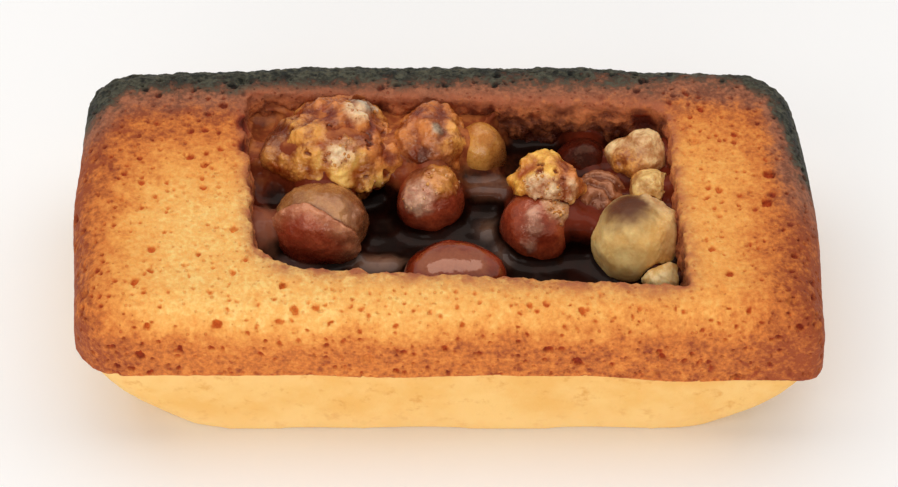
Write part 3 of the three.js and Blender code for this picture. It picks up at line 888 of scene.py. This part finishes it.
def toppingTree(name, look):
    amounts = ("Swell", "Lump", "Lump size", "Fine", "Hole spacing", "Hole radius", "Bend")
    tree, given = newTree(name + "Relief", {**dict.fromkeys(amounts, "Float"), "Finish": "Material"})
    place = millimetrePlace(tree)
    stray = wobbleVector(tree, place, 0.5, 2.0)
    lumpPlace = vectors(tree, "ADD", place, scaled(tree, stray, given["Lump size"]))
    ragged = wobbleVector(tree, place, 0.7, 3.0, 0.6)
    blobScale = maths(tree, "DIVIDE", 1.0, given["Lump size"])
    lump = minus(tree, 0.45, cells(tree, lumpPlace, blobScale, "SMOOTH_F1").outputs["Distance"])
    grain = minus(tree, 0.45, cells(tree, place, 0.9, "SMOOTH_F1").outputs["Distance"])
    fine = wobble(tree, place, 1.3, 4.0, 0.6)
    height = plus(tree, times(tree, lump, given["Lump"]), times(tree, fine, given["Fine"]))
    swell = wobble(tree, place, 0.22, 1.0)
    height = plus(tree, height, times(tree, swell, given["Swell"]))
    foldPlace = vectors(tree, "ADD", place, scaled(tree, stray, 2.5))
    fold = vectors(tree, "DOT_PRODUCT", foldPlace, toppingDetail["foldsAcross"])
    fold = maths(tree, "SINE", times(tree, fold, math.tau / toppingDetail["foldSpacing"]))
    raggedPlace = vectors(tree, "ADD", place, scaled(tree, ragged, 2.5))
    geometry = given["Geometry"]
    crumbly = 0.0
    # the relief that the finish turns into painted light and shade
    shade = lump
    for index, patch in enumerate(look["dabs"]):
        if "edge" in patch:
            mask = softStep(tree, peelShare(tree, place, ragged), *patch["edge"])
        else:
            away = vectors(tree, "SUBTRACT", raggedPlace, patch["at"])
            beyond = minus(tree, vectors(tree, "LENGTH", away), patch["size"])
            mask = softStep(tree, beyond, -patch["soft"], patch["soft"], 1.0, 0.0)
        bulge = timesPlus(tree, grain, patch["lump"], patch["rise"])
        if patch["folds"]:
            bulge = timesPlus(tree, fold, patch["folds"], bulge)
            shade = plus(tree, shade, times(tree, fold, mask))
        height = plus(tree, height, times(tree, bulge, mask))
        crumbly = larger(tree, crumbly, times(tree, mask, patch["crumbs"]))
        geometry = stored(tree, geometry, f"dab{index}", mask)
    hole = cells(tree, lumpPlace, maths(tree, "DIVIDE", 1.0, given["Hole spacing"]))
    away = times(tree, hole.outputs["Distance"], given["Hole spacing"])
    chance = axesOf(tree, hole.outputs["Color"])[0]
    radius = times(tree, chance, given["Hole radius"])
    left = minus(tree, times(tree, radius, radius), times(tree, away, away))
    depth = maths(tree, "SQRT", larger(tree, left, 0.0))
    # crumbs fill the holes
    depth = times(tree, depth, minus(tree, 1.0, crumbly))
    height = minus(tree, height, depth)
    geometry = stored(tree, geometry, "lump", shade)
    # the dips between lumps, which the finish darkens as painted shade
    crevice = softStep(tree, times(tree, lump, given["Lump"]), -0.35, 0.15, 1.0, 0.0)
    crevice = times(tree, crevice, softStep(tree, given["Lump"], 0.4, 0.9))
    geometry = stored(tree, geometry, "crevice", crevice)
    geometry = stored(tree, geometry, "crumbs", crumbly)
    geometry = stored(tree, geometry, "pit", softStep(tree, depth, 0.05, 0.5))
    geometry = pushed(tree, geometry, height)
    # broken pieces are bent out of round
    bend = wobbleVector(tree, place, 0.24, 1.0)
    bend = scaled(tree, scaled(tree, bend, given["Bend"]), millimetre)
    geometry = moved(tree, geometry, bend)
    closeTree(tree, geometry, given["Finish"])
    return tree


toppings = {}
for name, look in nuts.items():
    kind = {**kinds[look["slot"]], **look.get("own", {})}
    piece = mergedCopy(name, "topping_" + name)
    fineSkin(piece, kind["grain"], kind["rounds"])
    spacing, largest = kind["holes"]
    values = {"Swell": kind["swell"], "Lump": kind["lump"], "Lump size": kind["lumpSize"], "Fine": kind["fine"],
              "Hole spacing": spacing, "Hole radius": largest, "Bend": kind.get("bend", 0.0),
              "Finish": toppingFinish(name, look, kind)}
    shaped(piece, toppingTree(name, look), values, kind["triangles"])
    toppings[name] = piece
print("toppings made")


caramel = {
    "grain": 0.24,
    "rounds": 10,
    "lastRounds": 9,
    "triangles": 150000,
    "reach": 1.5,
    "farReach": 1.4,
    "farBack": (2.0, 10.0),
    "farLeft": (4.0, 14.0),
    "overWall": 0.45,
    "underWall": 0.7,
    "wallLevels": (13.0, 23.6),
    "wallDepth": 3.0,
    "underNut": {"hazelnut": 0.2, "split_hazelnut": 0.9, "blanched_nut": 1.0, "almond": 0.4, "praline": 0.6,
                 "chopped_nut": 0.8},
    "ripple": 0.25,
    "rippleScale": 0.4,
    "deep": (16, 5, 3),
    "amber": (34, 10, 5),
    "red": (112, 40, 21),
    "thin": (138, 66, 37),
    "glow": (186, 108, 58),
    "thinFrom": (17.5, 21.5),
    "driftScale": 0.28,
    "driftHeight": 6.0,
    "filmScale": 0.5,
    "streakScale": 0.45,
    "streakWander": 0.9,
    "roughness": (0.34, 0.18),
    "coat": (0.1, 0.5),
    "paleReach": 0.9,
    # films and drapes between the nuts: middle, half sizes in millimetres, and the pale tones of some, partly
    # the film's own colour and partly painted reflection
    "drapes": (
        ((-16.0, 14.8, 18.0), (11.0, 2.4, 4.6), None),
        ((-24.4, 9.0, 16.8), (2.2, 7.0, 3.6), None),
        ((-1.0, 14.8, 18.0), (9.0, 2.0, 3.8), None),
        ((18.6, -2.0, 17.0), (3.0, 2.6, 4.0), None),
        ((-25.2, -3.0, 18.2), (2.2, 4.0, 3.4), ((166, 102, 74), (206, 146, 112))),
        ((6.2, 5.6, 18.2), (4.6, 1.7, 0.7), ((84, 48, 33), (138, 92, 68))),
        ((6.0, -0.4, 15.9), (1.5, 1.7, 0.7), ((62, 38, 28), (116, 86, 68))),
        ((8.0, -4.4, 15.8), (1.1, 3.0, 0.6), ((56, 32, 24), (104, 74, 58))),
        ((-9.0, -6.4, 15.8), (4.0, 1.3, 0.6), ((92, 58, 44), (142, 102, 80))),
        ((-20.4, -6.0, 15.8), (3.6, 1.2, 0.6), ((84, 46, 38), (132, 88, 72))),
    ),
}


def caramelFar(tree, place):
    # the back left, where the caramel has run over the praline
    axes = axesOf(tree, place)
    return times(tree, softStep(tree, axes[1], *caramel["farBack"]),
                 softStep(tree, axes[0], *caramel["farLeft"], 1.0, 0.0))


def darkCaramel():
    material, tree, shader = newMaterial("dark_caramel")
    place = objectPlace(tree)
    drift = noise(tree, place, caramel["driftScale"], 3.0, 0.6)
    pool = mixed(tree, softStep(tree, drift, 0.4, 0.7), caramel["deep"], caramel["amber"])
    cloudy = softStep(tree, noise(tree, place, caramel["filmScale"], 4.0, 0.6), 0.4, 0.65)
    film = mixed(tree, cloudy, caramel["thin"], caramel["glow"])
    film = mixed(tree, caramelFar(tree, place), caramel["red"], film)
    height = axesOf(tree, place)[2]
    lift = timesPlus(tree, minus(tree, drift, 0.5), caramel["driftHeight"], height)
    raised = softStep(tree, lift, *caramel["thinFrom"])
    colour = mixed(tree, raised, pool, film)
    # pale films: partly the caramel film's own colour, partly painted reflection
    streaks = noise(tree, place, caramel["streakScale"], 2.0)
    stray = times(tree, minus(tree, streaks, 0.5), caramel["streakWander"])
    pale = 0.0
    for middle, half, tones in caramel["drapes"]:
        if tones:
            reach = [size + caramel["paleReach"] for size in half]
            away = vectors(tree, "DIVIDE", vectors(tree, "SUBTRACT", place, middle), reach)
            away = plus(tree, vectors(tree, "LENGTH", away), stray)
            share = softStep(tree, away, 0.3, 1.1, 0.95, 0.0)
            filmAndReflectionTone = mixed(tree, softStep(tree, streaks, 0.3, 0.7), *tones)
            colour = mixed(tree, share, colour, filmAndReflectionTone)
            pale = larger(tree, pale, share)
    gloss = softStep(tree, larger(tree, raised, pale), 0.0, 1.0, *caramel["roughness"])
    setFinish(tree, shader, Base_Color=colour, Roughness=gloss,
              Coat_Weight=softStep(tree, pale, 0.0, 1.0, *caramel["coat"]), Coat_Roughness=0.06,
              Specular_IOR_Level=0.1, Specular_Tint=(1.0, 0.6, 0.45, 1.0))
    return material


def caramelTree(name, direction):
    # swells what the caramel clings to, or shrinks it back, which leaves caramel only in the gaps and creases
    tree, given = newTree(name, {"Inset": "Float", "Ripple": "Float", "Finish": "Material"})
    place = millimetrePlace(tree)
    ripple = wobble(tree, place, caramel["rippleScale"], 2.0)
    height = minus(tree, times(tree, ripple, given["Ripple"]), given["Inset"])
    # half the gap that the caramel bridges
    reach = timesPlus(tree, caramelFar(tree, place), caramel["farReach"], caramel["reach"])
    height = timesPlus(tree, reach, direction, height)
    closeTree(tree, pushed(tree, given["Geometry"], height), given["Finish"])
    return tree


def hollowWalls():
    # the sponge next to the hollow, which the caramel climbs
    walls = mergedCopy("cake", "walls")
    low, high = [list(corner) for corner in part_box("caramel")]
    for axis in (0, 1):
        low[axis] -= caramel["wallDepth"] * millimetre
        high[axis] += caramel["wallDepth"] * millimetre
    low[2], high[2] = [level * millimetre for level in caramel["wallLevels"]]
    for axis in range(3):
        outward = [0.0, 0.0, 0.0]
        outward[axis] = 1.0
        cutAway(walls, high, outward)
        outward[axis] = -1.0
        cutAway(walls, low, outward)
    return walls


def drapeForms():
    # films between the nuts
    work = bmesh.new()
    for middle, half, _ in caramel["drapes"]:
        made = bmesh.ops.create_icosphere(work, subdivisions=3, radius=1.0)
        for vertex in made["verts"]:
            vertex.co = [(m + c * h) * millimetre for m, c, h in zip(middle, vertex.co, half)]
    return newPiece(work, "drapes")


def joinedCaramel(finish):
    # everything that the caramel clings to, swollen, as one mesh
    swell = caramelTree("caramelSwell", 1.0)
    parts = [(mergedCopy("caramel", "pool"), -caramel["overWall"]), (hollowWalls(), caramel["underWall"]),
             (drapeForms(), 0.0)]
    for name, look in nuts.items():
        parts.append((mergedCopy(name, "under_" + name), caramel["underNut"][look["slot"]]))
    work = bmesh.new()
    for part, inset in parts:
        shaped(part, swell, {"Inset": inset, "Ripple": 0.0, "Finish": finish}, math.inf)
        takeInto(work, part)
    return newPiece(work, "caramel_pool")


caramelFinish = darkCaramel()
caramelPiece = joinedCaramel(caramelFinish)
fineSkin(caramelPiece, caramel["grain"], caramel["rounds"])
shrink = caramelTree("caramelShrink", -1.0)
shaped(caramelPiece, shrink, {"Inset": 0.0, "Ripple": caramel["ripple"], "Finish": caramelFinish}, math.inf)
fineSkin(caramelPiece, caramel["grain"], caramel["lastRounds"])
thinned(caramelPiece, caramelFinish, caramel["triangles"])
print("caramel made")


# Loose crumbs on the crumbly patches: how many to a square millimetre, and their sizes in millimetres
crumbs = {
    "praline_crumbs": {"slot": "praline", "tones": golden, "density": 0.8, "sizes": (0.12, 0.36), "seed": 4},
    "nut_crumbs": {"slot": "chopped_nut", "tones": ((186, 120, 78), (226, 180, 132)), "density": 0.5,
                   "sizes": (0.12, 0.32), "seed": 9},
}
crumbForm = {"stretch": (1.0, 0.8, 0.65), "chip": 0.5, "chipScale": 2.6}


def crumbTree():
    tree, given = newTree("crumbScatter", {"Density": "Float", "Smallest": "Float", "Largest": "Float",
                                           "Seed": "Int", "Finish": "Material"})
    seed = given["Seed"]
    where = addNode(tree, "GeometryNodeInputNamedAttribute", {"Name": "crumbs"}, data_type="FLOAT").outputs[0]
    density = times(tree, times(tree, where, given["Density"]), 1 / millimetre ** 2)
    points = addNode(tree, "GeometryNodeDistributePointsOnFaces",
                     {"Mesh": given["Geometry"], "Density": density, "Seed": seed}).outputs[0]
    grain = addNode(tree, "GeometryNodeMeshIcoSphere", {"Radius": millimetre, "Subdivisions": 2}).outputs[0]
    turn = addNode(tree, "FunctionNodeRandomValue", {0: (0, 0, 0), 1: (math.tau, math.tau, math.tau), 8: seed},
                   data_type="FLOAT_VECTOR").outputs[0]
    size = addNode(tree, "FunctionNodeRandomValue", {2: given["Smallest"], 3: given["Largest"], 8: seed},
                   data_type="FLOAT").outputs[1]
    stretch = vectors(tree, "MULTIPLY", crumbForm["stretch"], size)
    placed = addNode(tree, "GeometryNodeInstanceOnPoints",
                     {"Points": points, "Instance": grain, "Rotation": turn, "Scale": stretch}).outputs[0]
    whole = addNode(tree, "GeometryNodeRealizeInstances", {"Geometry": placed}).outputs[0]
    chips = wobbleVector(tree, millimetrePlace(tree), crumbForm["chipScale"], 2.0)
    chipped = moved(tree, whole, scaled(tree, chips, crumbForm["chip"] * millimetre))
    closeTree(tree, chipped, given["Finish"])
    return tree


crumbScatter = crumbTree()
crumbPieces = {}
for name, look in crumbs.items():
    finish = toppingFinish(name, {"skin": look["tones"], "dabs": ()}, kinds["chopped_nut"])
    smallest, largest = look["sizes"]
    values = {"Density": look["density"], "Smallest": smallest, "Largest": largest, "Seed": look["seed"],
              "Finish": finish}
    work = bmesh.new()
    for nutName, nutLook in nuts.items():
        if any(patch["crumbs"] for patch in nutLook["dabs"]):
            part = newObject("ground_" + nutName, toppings[nutName].data.copy())
            shaped(part, crumbScatter, values, math.inf)
            takeInto(work, part)
    crumbPieces[name] = newPiece(work, name)
    crumbPieces[name].data.materials.append(finish)
    crumbPieces[name].data.shade_smooth()
    print(name, "triangles", triangleCount(crumbPieces[name].data))
print("crumbs made")


for name, piece in crumbPieces.items():
    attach(piece, "root")
for piece in (crustPiece, footPiece):
    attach(piece, "root")
    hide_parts("cake")
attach(caramelPiece, "root")
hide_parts("caramel")
for name, piece in toppings.items():
    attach(piece, "root")
    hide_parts(name)


stage = {
    "floor": (255, 255, 255),
    "floorSize": 3.0,
    "sky": (0.97, 0.97, 0.98),
    "skyStrength": 0.44,
    "lens": 145.92,
    "eye": (0.000415, -0.34272, 0.38055),
    "lookDown": 47.0,
}
lights = {
    "overhead": {"at": (0.0, 0.09, 0.45), "size": (0.76, 0.4), "watts": 1.5, "colour": (1.0, 0.97, 0.93)},
    "front": {"at": (-0.1, -0.6, 0.13), "size": (0.8, 0.24), "watts": 1.85, "colour": (1.0, 0.98, 0.95)},
    "left": {"at": (-0.3, -0.42, 0.5), "size": (0.22, 0.22), "watts": 0.3, "colour": (1.0, 0.97, 0.92)},
}


def studio():
    bpy.ops.mesh.primitive_plane_add(size=stage["floorSize"])
    floor = bpy.context.object
    floor.name = "floor"
    material, tree, shader = newMaterial("pale_floor")
    setFinish(tree, shader, Base_Color=screenColour(*stage["floor"]), Roughness=0.9, Specular_IOR_Level=0.1)
    floor.data.materials.append(material)
    world = bpy.data.worlds.new("studio")
    world.use_nodes = True
    sky = world.node_tree.nodes["Background"]
    setFinish(world.node_tree, sky, Color=(*stage["sky"], 1.0), Strength=stage["skyStrength"])
    bpy.context.scene.world = world
    for name, look in lights.items():
        data = bpy.data.lights.new(name, "AREA")
        data.shape = "RECTANGLE"
        data.size, data.size_y = look["size"]
        data.energy = look["watts"]
        data.color = look["colour"]
        lamp = newObject(name, data)
        lamp.location = look["at"]
        lamp.rotation_euler = (-Vector(look["at"])).to_track_quat("-Z", "Y").to_euler()
    data = bpy.data.cameras.new("camera")
    data.lens = stage["lens"]
    data.clip_start = 0.01
    camera = newObject("camera", data)
    camera.location = stage["eye"]
    camera.rotation_euler = (math.radians(90 - stage["lookDown"]), 0, 0)
    bpy.context.scene.camera = camera
    bpy.context.scene.view_settings.view_transform = "Standard"


studio()
print("studio made")
